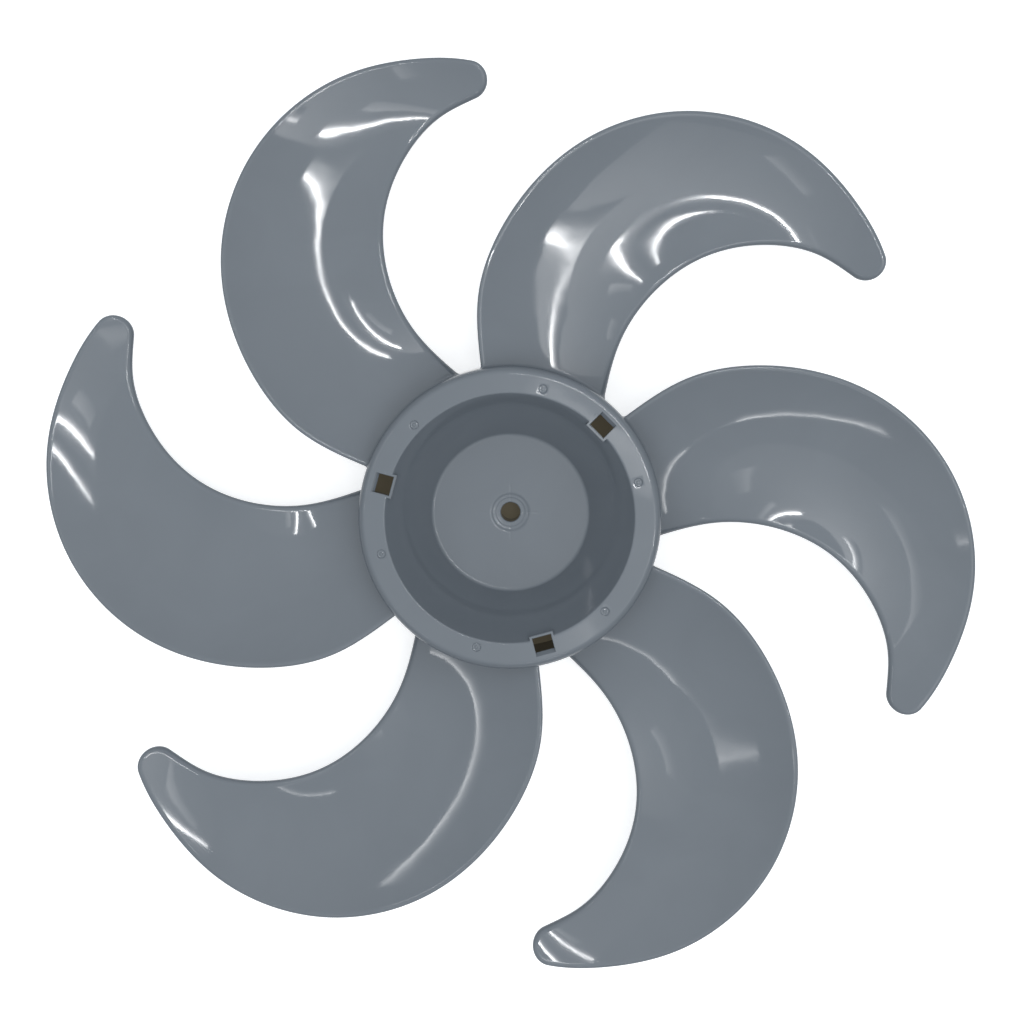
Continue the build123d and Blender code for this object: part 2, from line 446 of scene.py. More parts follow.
def make_piece(name, points, faces, sharp=35):
    """Closed, smooth-shaded plastic piece, with its doubles merged and its faces turned outward."""
    mesh = bpy.data.meshes.new(name)
    mesh.from_pydata(points.reshape(-1, 3).tolist(), [], [list(face) for face in faces])
    shape = bmesh.new()
    shape.from_mesh(mesh)
    bmesh.ops.remove_doubles(shape, verts=shape.verts, dist=MERGE)
    bmesh.ops.dissolve_degenerate(shape, edges=shape.edges, dist=MERGE)
    bmesh.ops.recalc_face_normals(shape, faces=shape.faces)
    open_edges = sum(1 for edge in shape.edges if not edge.is_manifold)
    shape.to_mesh(mesh)
    shape.free()
    if open_edges:
        raise RuntimeError(f"{name} has {open_edges} edges that are not closed")
    mesh.polygons.foreach_set("use_smooth", np.ones(len(mesh.polygons), bool))
    mesh.set_sharp_from_angle(angle=radians(sharp))
    mesh.materials.append(plastic())
    piece = placed(name, mesh)
    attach(piece, "root")
    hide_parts(NODE)
    return piece


def flange_radii(hub):
    """Outer and inner radius of the flat flange, before its edges are rounded."""
    outer = hub.skirt_radius - hub.height * tan(hub.skirt_draft)
    return outer, outer - hub.flange_width


def front_line(hub):
    """Section of the hub's front side, from the bore over the bowl and the flange to the skirt's foot."""
    outer, inner = flange_radii(hub)
    floor = hub.floor_height
    seat_floor = floor - hub.recess_depth - hub.seat_depth
    slant = tan(hub.recess_slant)
    recess_foot = hub.recess_radius - hub.recess_depth * slant / 2
    return rounded_line(
        (
            (hub.shaft_radius, seat_floor - hub.bore_break, 0),
            (hub.shaft_radius + hub.bore_break, seat_floor, hub.bore_break),
            (hub.seat_radius - hub.seat_depth * slant, seat_floor, hub.seat_round),
            (hub.seat_radius, floor - hub.recess_depth, hub.seat_round),
            (recess_foot, floor - hub.recess_depth, hub.recess_round),
            (recess_foot + hub.recess_depth * slant, floor, hub.recess_round),
            (hub.floor_radius, floor, hub.floor_round),
            (inner, hub.height, hub.flange_inner_round),
            (outer, hub.height, hub.flange_round),
            (hub.skirt_radius, 0, 0),
        )
    )


def back_line(hub):
    """Section of the hub's back side, from the skirt's foot under the flange and the bowl to the bore."""
    inner = flange_radii(hub)[1]
    wall = hub.wall
    run = inner - hub.floor_radius
    rise = hub.height - hub.floor_height
    slope = run / rise
    lean = wall * sqrt(run * run + rise * rise) / rise
    under_flange = hub.height - wall
    under_floor = hub.floor_height - wall
    skirt_inside = hub.skirt_radius - wall / cos(hub.skirt_draft)
    slot_top = hub.boss_clearance + hub.slot_depth
    return rounded_line(
        (
            (skirt_inside, 0, 0),
            (skirt_inside - under_flange * tan(hub.skirt_draft), under_flange, hub.flange_round - wall),
            (inner + lean - wall * slope, under_flange, 0),
            (hub.floor_radius + lean - wall * slope, under_floor, hub.floor_round + wall),
            (hub.boss_radius, under_floor, hub.boss_foot_round),
            (hub.boss_radius, slot_top, 0),
            (hub.shaft_radius, slot_top, 0),
        )
    )


def squared(plan, radii, centre, columns, half_width, span):
    """Moves the grid near one window or gate mark so that a block of it becomes a rectangle.

    In the block a point's place along the window's own axis is its ring's radius, and across it a
    fixed share of the half width for each column. Outside, the move fades to nothing with a smooth step.
    """
    nearest = round(centre / COLUMN_STEP) * COLUMN_STEP
    away = (np.arange(COLUMNS) * COLUMN_STEP - nearest + pi) % (2 * pi) - pi
    share = away / (columns * COLUMN_STEP)
    by_column = ease((columns + EASE_COLUMNS - np.abs(away) / COLUMN_STEP) / EASE_COLUMNS)
    gap = np.maximum(span[0] - radii, radii - span[1])
    by_ring = ease(1 - gap / EASE_REACH)
    weight = (by_ring[:, None] * by_column[None, :])[..., None]
    along = np.array((cos(centre), sin(centre)))
    across = np.array((-sin(centre), cos(centre)))
    wanted = radii[:, None, None] * along + (half_width * share)[None, :, None] * across
    return plan + weight * (wanted - plan)


def block_columns(centre, columns):
    """Column numbers across a block of the grid, from one flank to the other."""
    middle = round(centre / COLUMN_STEP)
    return [(middle + offset) % COLUMNS for offset in range(-columns, columns + 1)]


def block_border(numbers, first_ring, last_ring, centre, columns):
    """Vertex numbers round a block of the grid: inner side, one flank, outer side, other flank."""
    across = block_columns(centre, columns)
    rings = list(range(first_ring, last_ring + 1))
    inner = [numbers[first_ring, column] for column in across[:-1]]
    flank = [numbers[ring, across[-1]] for ring in rings[:-1]]
    outer = [numbers[last_ring, column] for column in across[:0:-1]]
    other = [numbers[ring, across[0]] for ring in rings[:0:-1]]
    return np.array(inner + flank + outer + other)


def flipped_border(border, columns, rings):
    """Border of a block whose rings run inward, put in the order of one whose rings run outward."""
    last_corner = 4 * columns + rings
    return border[(last_corner - np.arange(len(border))) % len(border)]


def block_cells(first_ring, last_ring, centre, columns):
    """Mask of the grid's cells that a block covers."""
    return np.ix_(np.arange(first_ring, last_ring), block_columns(centre, columns)[:-1])


def rectangle_loop(x0, x1, half_width, columns, rings):
    """Points round a rectangle in the order of block_border: the inner side first."""
    across = np.linspace(-half_width, half_width, 2 * columns + 1)
    along = np.linspace(x0, x1, rings + 1)
    inner = np.c_[np.full(2 * columns, x0), across[:-1]]
    flank = np.c_[along[:-1], np.full(rings, half_width)]
    outer = np.c_[np.full(2 * columns, x1), across[:0:-1]]
    other = np.c_[along[:0:-1], np.full(rings, -half_width)]
    return np.concatenate((inner, flank, outer, other))


def window_loops(hub, rings, front_span, back_low):
    """Loops that lead from the hub's front, over the land and through the window, to the hub's back."""
    inner = flange_radii(hub)[1]
    low, high = front_span
    centre = inner + hub.window_offset
    start = centre - hub.window_length / 2
    end = centre + hub.window_length / 2
    half = hub.window_width / 2
    land = half + hub.window_land
    top = hub.height
    mouth_end = end + hub.window_lead_in

    def loop(x0, x1, width, height):
        plan = rectangle_loop(x0, x1, width, WINDOW_COLUMNS, rings)
        return np.c_[plan, np.full(len(plan), height)]

    def foot(x0, width):
        ring = loop(x0, end, width, top - hub.window_land_depth)
        ring[ring[:, 0] > end - NEAR, 2] = top - hub.wall
        return ring

    lip = loop(low, high, land, top)
    lip_top = lip.copy()
    inside = lip[:, 0] < inner - hub.flange_inner_round / 2
    lip[inside, 2] -= LAND_BREAK
    lip_top[lip_top[:, 0] < low + NEAR, 0] += LAND_BREAK
    lip_top[inside, 1] *= 1 - LAND_NARROWING
    mouth = loop(start - MOUTH_BREAK, mouth_end, half + MOUTH_BREAK, top)
    mouth_edge = loop(start, mouth_end - MOUTH_BREAK, half, top - MOUTH_BREAK)
    neck = loop(start, end, half, top - hub.window_lead_in)
    return [lip, lip_top, mouth, mouth_edge, neck, foot(start, half), foot(back_low, land)]


def gate_loops(hub, border):
    """Rings of a gate mark: the dimple's lip, its drafted wall, its floor and the stub that stands in it.

    Each ring has a point in the direction of every border point. The small steps break the edges.
    """
    centre = flange_radii(hub)[1] + hub.gate_offset
    top = hub.height
    floor = top - hub.gate_depth
    stub_top = floor + hub.nub_height
    foot = hub.gate_radius - hub.gate_depth * tan(hub.gate_draft)
    nub = hub.nub_radius
    rings = (
        (hub.gate_radius + 0.15 * MM, top),
        (hub.gate_radius, top - 0.02 * MM),
        (hub.gate_radius - 0.08 * MM, top - 0.1 * MM),
        (foot + 0.04 * MM, floor + 0.08 * MM),
        (foot - 0.1 * MM, floor),
        (nub + 0.1 * MM, floor),
        (nub, floor + 0.06 * MM),
        (nub - 0.04 * MM, stub_top - 0.06 * MM),
        (nub - 0.12 * MM, stub_top),
        (nub * 0.3, stub_top),
    )
    angles = np.arctan2(border[:, 1], border[:, 0] - centre)
    return [
        np.c_[centre + radius * np.cos(angles), radius * np.sin(angles), np.full(len(border), height)]
        for radius, height in rings
    ]


def nearest_rings(radii, span):
    """Numbers of the rings that lie nearest to the two ends of a span."""
    return [int(np.argmin(np.abs(radii - end))) for end in span]


class HubGrid:
    """Rings and columns of the hub, and the blocks of them where windows and gate marks are let in.

    A point of the grid is (r cos a, r sin a, z) for a point (r, z) of the section and a column's angle a.
    Near a window or a gate mark the grid is squared, and its height is read again from the section.
    """

    def __init__(self, hub):
        inner = flange_radii(hub)[1]
        window = inner + hub.window_offset
        half = hub.window_length / 2
        self.hub = hub
        self.gate = inner + hub.gate_offset
        self.gate_span = (self.gate - GATE_HALF, self.gate + GATE_HALF)
        front_end = window + half + hub.window_lead_in + WINDOW_MARGIN
        self.front_span = (window - half - hub.window_land, front_end)
        self.back_span = (window - half + BACK_SHIFT, window + half + BACK_SHIFT)
        self.front = front_line(hub)
        radii = self.front_radii(inner)
        heights = np.interp(radii, self.front[:, 0], self.front[:, 1])
        self.fronts = len(radii)
        self.window_rings = nearest_rings(radii, self.front_span)
        self.gate_rings = nearest_rings(radii, self.gate_span)
        self.rings = self.window_rings[1] - self.window_rings[0]
        back, first, self.stretch = self.back_section()
        self.back_rings = (self.fronts + first, self.fronts + first + self.rings)
        self.section = np.concatenate((np.c_[radii, heights], back))

    def front_radii(self, inner):
        """Radii of the front's rings: the section's own, and more at the windows and gate marks."""
        low, high = self.front_span
        under_land = np.linspace(low - UNDER_LAND, low, 4)[:-1]
        over_land = np.linspace(low, inner - SHORT_OF_EDGE, 5)
        across_gate = np.linspace(*self.gate_span, 9)
        outside = (high, high + BEYOND_WINDOW)
        more = np.concatenate((under_land, over_land, across_gate, outside))
        radii = np.union1d(self.front[:, 0].round(7), more.round(7))
        return radii[np.concatenate(([True], np.diff(radii) > RING_GAP))]

    def back_section(self):
        """The back's section, with as many rings behind a window as there are in front of it.

        With it come the number of the first of those rings, and the stretch of the section round them.
        """
        back = back_line(self.hub)
        low, high = self.back_span
        inside = (back[:, 0] > low) & (back[:, 0] < high)
        first = np.argmax(back[:, 0] < high)
        last = len(back) - np.argmax(back[::-1, 0] > low)
        even = np.linspace(low, high, self.rings - inside.sum() + 1)
        block = np.unique(np.concatenate((even, back[inside, 0])))[::-1]
        if len(block) != self.rings + 1:
            raise RuntimeError("the window's rings differ between the hub's front and back")
        stretch = back[first - 1 : last + 1][::-1]
        heights = np.interp(block, stretch[:, 0], stretch[:, 1])
        return np.concatenate((back[:first], np.c_[block, heights], back[last:])), first, stretch

    def points(self):
        """Points of the grid, with the blocks of the windows and the gate marks squared."""
        hub = self.hub
        plan = ring_points(self.section[:, :1], np.arange(COLUMNS)[None] * COLUMN_STEP)
        fronts = slice(0, self.fronts)
        first, last = self.back_rings
        backs = slice(first - BACK_MOVED, last + BACK_MOVED + 1)
        half_land = hub.window_width / 2 + hub.window_land
        windows = directions(hub.window_turn, hub.window_count)
        gates = directions(hub.gate_turn, hub.gate_count)
        blocks = (
            (windows, fronts, WINDOW_COLUMNS, half_land, self.front_span),
            (windows, backs, WINDOW_COLUMNS, half_land, self.back_span),
            (gates, fronts, GATE_COLUMNS, GATE_HALF, self.gate_span),
        )
        for centres, rows, columns, half_width, span in blocks:
            for centre in centres:
                radii = self.section[rows, 0]
                plan[rows] = squared(plan[rows], radii, centre, columns, half_width, span)
        reach = np.linalg.norm(plan, axis=-1)
        heights = np.repeat(self.section[:, 1:], COLUMNS, axis=1)
        near_window = slice(self.window_rings[0] - FRONT_RESET, self.fronts)
        heights[near_window] = np.interp(reach[near_window], self.front[:, 0], self.front[:, 1])
        behind_window = slice(first - BACK_RESET, last + BACK_RESET + 1)
        heights[behind_window] = np.interp(reach[behind_window], self.stretch[:, 0], self.stretch[:, 1])
        return np.concatenate((plan, heights[..., None]), axis=-1).reshape(-1, 3)


def add_loops(points, loops, centre):
    """Adds loops, turned to a window's or a gate mark's place, to the points, and gives their numbers."""
    numbers = []
    for loop in loops:
        start = sum(len(part) for part in points)
        points.append(turned(loop, centre))
        numbers.append(np.arange(start, start + len(loop)))
    return numbers


def hub_surface(hub):
    """The hub shell: a closed section turned about the axis, with the windows and gate marks let into it."""
    grid = HubGrid(hub)
    points = [grid.points()]
    numbers = np.arange(len(points[0])).reshape(-1, COLUMNS)
    present = np.ones(numbers.shape, bool)
    faces = []
    for centre in directions(hub.window_turn, hub.window_count):
        front_block = (*grid.window_rings, centre, WINDOW_COLUMNS)
        back_block = (*grid.back_rings, centre, WINDOW_COLUMNS)
        present[block_cells(*front_block)] = False
        present[block_cells(*back_block)] = False
        through = window_loops(hub, grid.rings, grid.front_span, grid.back_span[0])
        loops = [block_border(numbers, *front_block), *add_loops(points, through, centre)]
        behind = block_border(numbers, *back_block)
        loops.append(flipped_border(behind, WINDOW_COLUMNS, grid.rings))
        faces.append(grid_quads(np.array(loops)))
    stub_middle = np.array([[grid.gate, 0, hub.height - hub.gate_depth + hub.nub_height]])
    for centre in directions(hub.gate_turn, hub.gate_count):
        block = (*grid.gate_rings, centre, GATE_COLUMNS)
        present[block_cells(*block)] = False
        border = block_border(numbers, *block)
        dimple = gate_loops(hub, turned(points[0][border], -centre))
        loops = [border, *add_loops(points, dimple, centre)]
        middle = add_loops(points, [stub_middle], centre)[0]
        loops.append(np.repeat(middle, len(border)))
        faces.append(grid_quads(np.array(loops)))
    round_quads = grid_quads(np.vstack((numbers, numbers[:1])))
    faces.insert(0, round_quads[present.ravel()])
    return np.concatenate(points), np.concatenate(faces)


def prism(outline, low, high):
    """Closed prism over a plan outline: its walls, and a fan of faces at its foot and at its top."""
    number = len(outline)
    foot = np.c_[outline, np.full(number, low)]
    top = np.c_[outline, np.full(number, high)]
    ring = np.arange(number)
    walls = grid_quads(np.stack((ring, ring + number)))
    return np.concatenate((foot, top)), [*walls, ring[::-1], ring + number]


def boss_claw(hub, side, inner_samples=40, outer_samples=60):
    """Outline of the boss beside the drive slot: two arcs about the axis, cut off by the slot's wall."""
    half = hub.slot_width / 2
    inner_start = asin(half / hub.shaft_radius)
    outer_start = asin(half / hub.boss_radius)
    inner_angles = np.linspace(inner_start, pi - inner_start, inner_samples)
    outer_angles = np.linspace(outer_start, pi - outer_start, outer_samples)[::-1]
    inner = hub.shaft_radius * np.c_[np.cos(inner_angles), np.sin(inner_angles)]
    outer = hub.boss_radius * np.c_[np.cos(outer_angles), np.sin(outer_angles)]
    return np.concatenate((inner, outer)) * side


def boss_rib(hub, angle):
    """Outline of one rib that stands out of the boss."""
    start = hub.boss_radius - hub.rib_inside
    end = hub.boss_radius + hub.rib_reach
    half = hub.rib_width / 2
    corner = np.array(((start, -half), (end, -half), (end, half), (start, half)))
    return turned(corner, angle)


def front_height(blade, hub, x, y):
    """Height of a blade's front: the flange's height less a depth about the curl centre.

    The depth is a curve through three arcs' depths at the point's reach, and each arc's depth is a curve
    through four depths at the point's direction.
    """
    across = x - blade.curl_x
    along = y - blade.curl_y
    reach = np.hypot(across, along) / MM
    direction = np.degrees(np.arctan2(along, across))
    direction = np.where(direction < -90, direction + 360, direction)
    root = blade.root_turn * 180 / pi
    span = (blade.tip_turn - blade.root_turn) * 180 / pi
    stations = tuple(root + span * step / 3 for step in range(4))
    depths = [curve_through(stations, depth, direction) for depth in ARC_DEPTHS]
    return hub.height - MM * curve_through(ARC_RADII, depths, reach)


def blade_sides(blade, edge_samples=900, tip_samples=80):
    """Plan outline of a blade as its trailing and leading curve, each from the root to the tip's middle."""
    centre = np.array((blade.tip_x, blade.tip_y))
    middle = (blade.tip_trailing + blade.tip_leading) / 2

    def on_tip(angle):
        return centre + blade.tip_radius * np.stack((np.cos(angle), np.sin(angle)), axis=-1)

    trailing = np.array(TRAILING_POINTS) * MM
    leading = np.array(LEADING_POINTS) * MM
    trailing_end = np.vstack((trailing, on_tip(blade.tip_trailing)))
    leading_end = np.vstack((on_tip(blade.tip_leading), leading))
    trailing_tangent = (sin(blade.tip_trailing), -cos(blade.tip_trailing))
    leading_tangent = (sin(blade.tip_leading), -cos(blade.tip_leading))
    outer = smooth_curve(trailing_end, trailing[1] - trailing[0], trailing_tangent, edge_samples)
    inner = smooth_curve(leading_end, leading_tangent, leading[-1] - leading[-2], edge_samples)[::-1]
    outer_arc = on_tip(np.linspace(blade.tip_trailing, middle, tip_samples)[1:])
    inner_arc = on_tip(np.linspace(blade.tip_leading, middle, tip_samples)[1:])
    return np.vstack((outer, outer_arc)), np.vstack((inner, inner_arc))


def inset(curve, distance, hand):
    """Curve moved sideways by a distance, to its right (hand -1) or its left (hand 1)."""
    along = np.gradient(curve, axis=0)
    along = along / np.linalg.norm(along, axis=1)[:, None]
    side = np.c_[-along[:, 1], along[:, 0]] * hand
    return curve + side * distance


def rows_along(curve, ring_radii, shares, margin=0.2 * MM):
    """Points of a curve where it crosses the given rings, and then at shares of the way to its end."""
    reach = np.linalg.norm(curve, axis=1)
    outside = len(curve) - np.argmax(reach[::-1] < ring_radii.min() - margin) - 1
    curve = curve[outside:]
    reach = reach[outside:]
    steps = np.linalg.norm(np.diff(curve, axis=0), axis=1)
    way = np.concatenate(([0], np.cumsum(steps)))
    crossing = np.argmax(reach > ring_radii.max() + margin) + 1
    at_rings = np.interp(ring_radii, reach[:crossing], way[:crossing])
    start = at_rings.max()
    places = np.concatenate((at_rings, start + (way[-1] - start) * shares))
    return np.stack((np.interp(places, way, curve[:, 0]), np.interp(places, way, curve[:, 1])), axis=-1)


def rim_profile(blade):
    """Insets of the lines along a rim, with the front's drop and the back's rise at each."""
    quarter = np.linspace(0, pi / 2, RIM_LINES)
    insets = blade.edge_width * (1 - np.cos(quarter))
    drops = blade.edge_round * (1 - np.sin(quarter))
    short = np.maximum(blade.back_round - insets, 0)
    rises = blade.back_round - np.sqrt(np.maximum(blade.back_round**2 - short**2, 0))
    return insets, drops, rises


def cross_shares():
    """Shares of the way to the tip at which the cross lines stand, with one more close to the root."""
    even = np.linspace(0, 1, CROSS_LINES)[1:]
    shares = 1 - (1 - even) ** TIP_CROWDING
    return np.concatenate((shares[:1] * FIRST_CROSS, shares))


def inner_lines(first, second, straight):
    """Lines shared out between two rims: on arcs about the axis near the root, on chords further out."""
    even = np.linspace(0, 1, INNER_LINES + 2)[1:-1]
    crowded = 0.5 - 0.5 * np.cos(pi * even)
    part = EVEN_SHARE * even + (1 - EVEN_SHARE) * crowded
    start = first[:, None]
    end = second[:, None]
    chord = start + (end - start) * part[None, :, None]
    start_reach, start_angle = polar(start)
    end_reach, end_angle = polar(end)
    reach = start_reach + (end_reach - start_reach) * part
    angle = start_angle + (end_angle - start_angle) * part
    arc = ring_points(reach, angle)
    return arc + (chord - arc) * straight[:, None, None]


def rounded_root(root, gaps, offsets, hub):
    """Root of a blade: each section moved outward along its own normal and set off from the skirt."""
    across = polar(root)[1] * hub.skirt_radius
    step_across = np.roll(across, -1, axis=1) - np.roll(across, 1, axis=1)
    step_up = np.roll(root[..., 2], -1, axis=1) - np.roll(root[..., 2], 1, axis=1)
    size = np.hypot(step_across, step_up)
    across = across + offsets[:, None] * step_up / size
    up = root[..., 2] - offsets[:, None] * step_across / size
    reach = hub.skirt_radius - up * tan(hub.skirt_draft) + gaps[:, None]
    plan = ring_points(reach, across / hub.skirt_radius)
    return np.concatenate((plan, up[..., None]), axis=-1)


def drawn_together(section):
    """A section whose front and back both lie on the line midway between them."""
    half = section.shape[1] // 2
    middle = (section[:, :half] + section[:, half:][:, ::-1]) / 2
    return np.concatenate((middle, middle[:, ::-1]), axis=1)


def blade_surface(blade, hub):
    """One blade: a closed section carried from the skirt along the blade to its tip.

    Across the section stand lines at fixed insets from the outline, then lines shared out between them.
    A point's height is the front's, less the drop of a quarter ellipse within the rim's round. The back
    lies the thickness lower. At the root each section is moved outward along its own normal by the
    offset of a quarter circle, which gives the round between the blade and the skirt.
    """
    insets, drops, rises = rim_profile(blade)
    root_steps = np.linspace(pi / 2, 0, ROOT_LINES)
    gaps = blade.root_round * (1 - np.sin(root_steps))
    offsets = blade.root_round * (1 - np.cos(root_steps))
    ring_radii = hub.skirt_radius - ROOT_DIP + gaps
    shares = cross_shares()

    trailing, leading = blade_sides(blade)
    first = np.stack([rows_along(inset(trailing, d, -1), ring_radii, shares) for d in insets], axis=1)
    second = np.stack([rows_along(inset(leading, d, 1), ring_radii, shares) for d in insets], axis=1)
    seam = (first[-1] + second[-1]) / 2
    first[-1] = seam
    second[-1] = seam

    straight = ease(np.concatenate((np.zeros(ROOT_LINES), shares / STRAIGHT_FROM)))
    middle = inner_lines(first[:, -1], second[:, -1], straight)
    plan = np.concatenate((first, middle, second[:, ::-1]), axis=1)
    drop = np.concatenate((drops, np.zeros(INNER_LINES), drops[::-1]))
    rise = np.concatenate((rises, np.zeros(INNER_LINES), rises[::-1]))
    height = front_height(blade, hub, plan[..., 0], plan[..., 1])
    front = np.concatenate((plan, (height - drop)[..., None]), axis=-1)
    back = np.concatenate((plan, (height - blade.thickness + rise)[..., None]), axis=-1)
    loops = np.concatenate((front, back[:, ::-1]), axis=1)

    root = rounded_root(loops[:ROOT_LINES], gaps, offsets, hub)
    sunk = root[:1].copy()
    sunk[..., :2] *= 1 - ROOT_DRAWN_IN
    loops = np.concatenate((drawn_together(sunk), sunk, root, loops[ROOT_LINES:]))
    numbers = np.arange(loops.shape[0] * loops.shape[1]).reshape(loops.shape[:2])
    return loops, grid_quads(numbers)


def set_inputs(tree, node, inputs):
    """Gives inputs of a node, by name or number, a value or a link from another node's output."""
    for key, value in inputs.items():
        if isinstance(value, bpy.types.NodeSocket):
            tree.links.new(value, node.inputs[key])
        else:
            node.inputs[key].default_value = value


def new_node(tree, kind, inputs, **settings):
    """New node of a kind, with its settings and its inputs."""
    node = tree.nodes.new(kind)
    for name, value in settings.items():
        setattr(node, name, value)
    set_inputs(tree, node, inputs)
    return node


def plain_math(tree, operation, first, second=0.0):
    """A Math node's result for two inputs, each a number or another node's output."""
    return new_node(tree, "ShaderNodeMath", {0: first, 1: second}, operation=operation).outputs["Value"]


def smooth_step(tree, value, low, high, first=0.0):
    """Smooth step of a value, from a first level at the low end to one at the high end."""
    inputs = {"Value": value, "From Min": low, "From Max": high, "To Min": first}
    return new_node(tree, "ShaderNodeMapRange", inputs, interpolation_type="SMOOTHSTEP").outputs["Result"]


def noise(tree, place, scale, detail, distortion=0.0):
    """Level of a noise pattern at a place."""
    inputs = {"Vector": place, "Scale": scale, "Detail": detail, "Distortion": distortion}
    return new_node(tree, "ShaderNodeTexNoise", inputs).outputs["Fac"]


def bump(tree, inputs, **settings):
    """Normal that a relief gives the surface."""
    return new_node(tree, "ShaderNodeBump", inputs, **settings).outputs["Normal"]


def mixed_colour(tree, share, first, second):
    """Colour between a first and a second one."""
    inputs = {"Factor": share, "A": (*first, 1), "B": (*second, 1)}
    return new_node(tree, "ShaderNodeMix", inputs, data_type="RGBA").outputs["Result"]


def mixed_shader(tree, share, first, second):
    """Shader between a first and a second node's."""
    inputs = {"Fac": share, 1: first.outputs[0], 2: second.outputs[0]}
    return new_node(tree, "ShaderNodeMixShader", inputs)


def seen_straight(tree, rays):
    """One for a ray from the camera and for one through glass."""
    return plain_math(tree, "MAXIMUM", rays["Is Camera Ray"], rays["Is Transmission Ray"])


def sink_lines(tree, finish, place):
    """Depth of the faint sink lines over the boss's ribs, along X and Y near the axis.

    The depth is one at the nearer of the two axes and falls off as a bell curve with the distance from
    it, and a smooth step ends it at its reach.
    """
    flat = new_node(tree, "ShaderNodeVectorMath", {0: place, 1: (1, 1, 0)}, operation="MULTIPLY")
    flat = flat.outputs["Vector"]
    parts = new_node(tree, "ShaderNodeSeparateXYZ", {"Vector": flat}).outputs
    squares = [plain_math(tree, "MULTIPLY", parts[axis], parts[axis]) for axis in ("X", "Y")]
    nearest = plain_math(tree, "MINIMUM", *squares)
    spread = plain_math(tree, "DIVIDE", nearest, -(finish.sink_width / 2) ** 2)
    bell = plain_math(tree, "EXPONENT", spread)
    reach = new_node(tree, "ShaderNodeVectorMath", {0: flat}, operation="LENGTH").outputs["Value"]
    ended = smooth_step(tree, reach, finish.sink_reach, finish.sink_reach - finish.sink_fade)
    return plain_math(tree, "MULTIPLY", bell, ended)


def moulded_plastic(finish):
    """Glossy moulded plastic: flow streaks, uneven polish, slight waviness, fine grain and sink lines."""
    material = bpy.data.materials.new(PLASTIC)
    material.use_nodes = True
    tree = material.node_tree
    place = tree.nodes.new("ShaderNodeTexCoord").outputs["Object"]

    streaks = noise(tree, place, finish.streak_size, detail=3.0, distortion=0.8)
    tints = new_node(tree, "ShaderNodeValToRGB", {"Fac": streaks})
    ends = zip(tints.color_ramp.elements, STREAK_ENDS, (finish.tint, finish.tint_streak))
    for element, position, tint in ends:
        element.position = position
        element.color = (*tint, 1)

    levels = {
        "Value": noise(tree, place, finish.polish_size, detail=5.0),
        "From Min": POLISH_ENDS[0],
        "From Max": POLISH_ENDS[1],
        "To Min": finish.roughness_low,
        "To Max": finish.roughness_high,
    }
    roughness = new_node(tree, "ShaderNodeMapRange", levels).outputs["Result"]

    waves = noise(tree, place, finish.wave_size, detail=1.0)
    grains = noise(tree, place, finish.grain_size, detail=2.0)
    sinks = sink_lines(tree, finish, place)
    wavy = bump(tree, {"Height": waves, "Strength": finish.waviness, "Distance": finish.wave_height})
    fine = {"Height": grains, "Strength": finish.grain, "Distance": finish.grain_height, "Normal": wavy}
    sunk = {"Height": sinks, "Distance": finish.sink_depth, "Normal": bump(tree, fine)}
    looks = {
        "IOR": finish.ior,
        "Base Color": tints.outputs["Color"],
        "Roughness": roughness,
        "Normal": bump(tree, sunk, invert=True),
    }
    set_inputs(tree, tree.nodes["Principled BSDF"], looks)
    return material


def plastic():
    """The moulded plastic, made once."""
    found = bpy.data.materials.get(PLASTIC)
    return found or moulded_plastic(bpy.context.scene.rotor_finish)


def white_floor(studio, hub_radius):
    """Matt floor that adds white where it is seen and keeps the shadow, with painted shade within the hub's
    rim: a dark olive colour and a dim olive glow.

    From below the camera looks through it, so that the rotor's back can be seen.
    """
    material = bpy.data.materials.new("white floor")
    material.use_nodes = True
    tree = material.node_tree
    place = tree.nodes.new("ShaderNodeTexCoord").outputs["Object"]
    reach = new_node(tree, "ShaderNodeVectorMath", {0: place}, operation="LENGTH").outputs["Value"]
    # Mask of the painted shade under the hub: nought within its rim, one outside it
    outside = smooth_step(tree, reach, hub_radius - studio.hub_edge, hub_radius + studio.hub_edge)
    matt = tree.nodes["Principled BSDF"]
    looks = {
        "Roughness": studio.floor_rough,
        "Specular IOR Level": 0.0,
        "Base Color": mixed_colour(tree, outside, studio.floor_painted_shade, studio.floor_tint),
    }
    set_inputs(tree, matt, looks)
    white = (studio.floor_glow, studio.floor_glow, studio.floor_glow)
    # Within the rim the added white gives way to a dim olive glow: painted shade with a faint painted light
    added = mixed_colour(tree, outside, studio.glow_painted_shade, white)
    glow = new_node(tree, "ShaderNodeEmission", {"Color": added})
    both = new_node(tree, "ShaderNodeAddShader", {0: matt.outputs["BSDF"], 1: glow.outputs["Emission"]})
    rays = tree.nodes.new("ShaderNodeLightPath").outputs
    seen = plain_math(tree, "MAXIMUM", seen_straight(tree, rays), rays["Is Glossy Ray"])
    from_above = mixed_shader(tree, seen, matt, both)
    side = tree.nodes.new("ShaderNodeNewGeometry").outputs
    from_below = plain_math(tree, "MULTIPLY", side["Backfacing"], rays["Is Camera Ray"])
    clear = tree.nodes.new("ShaderNodeBsdfTransparent")
    shown = mixed_shader(tree, from_below, from_above, clear)
    set_inputs(tree, tree.nodes["Material Output"], {"Surface": shown.outputs["Shader"]})
    return material


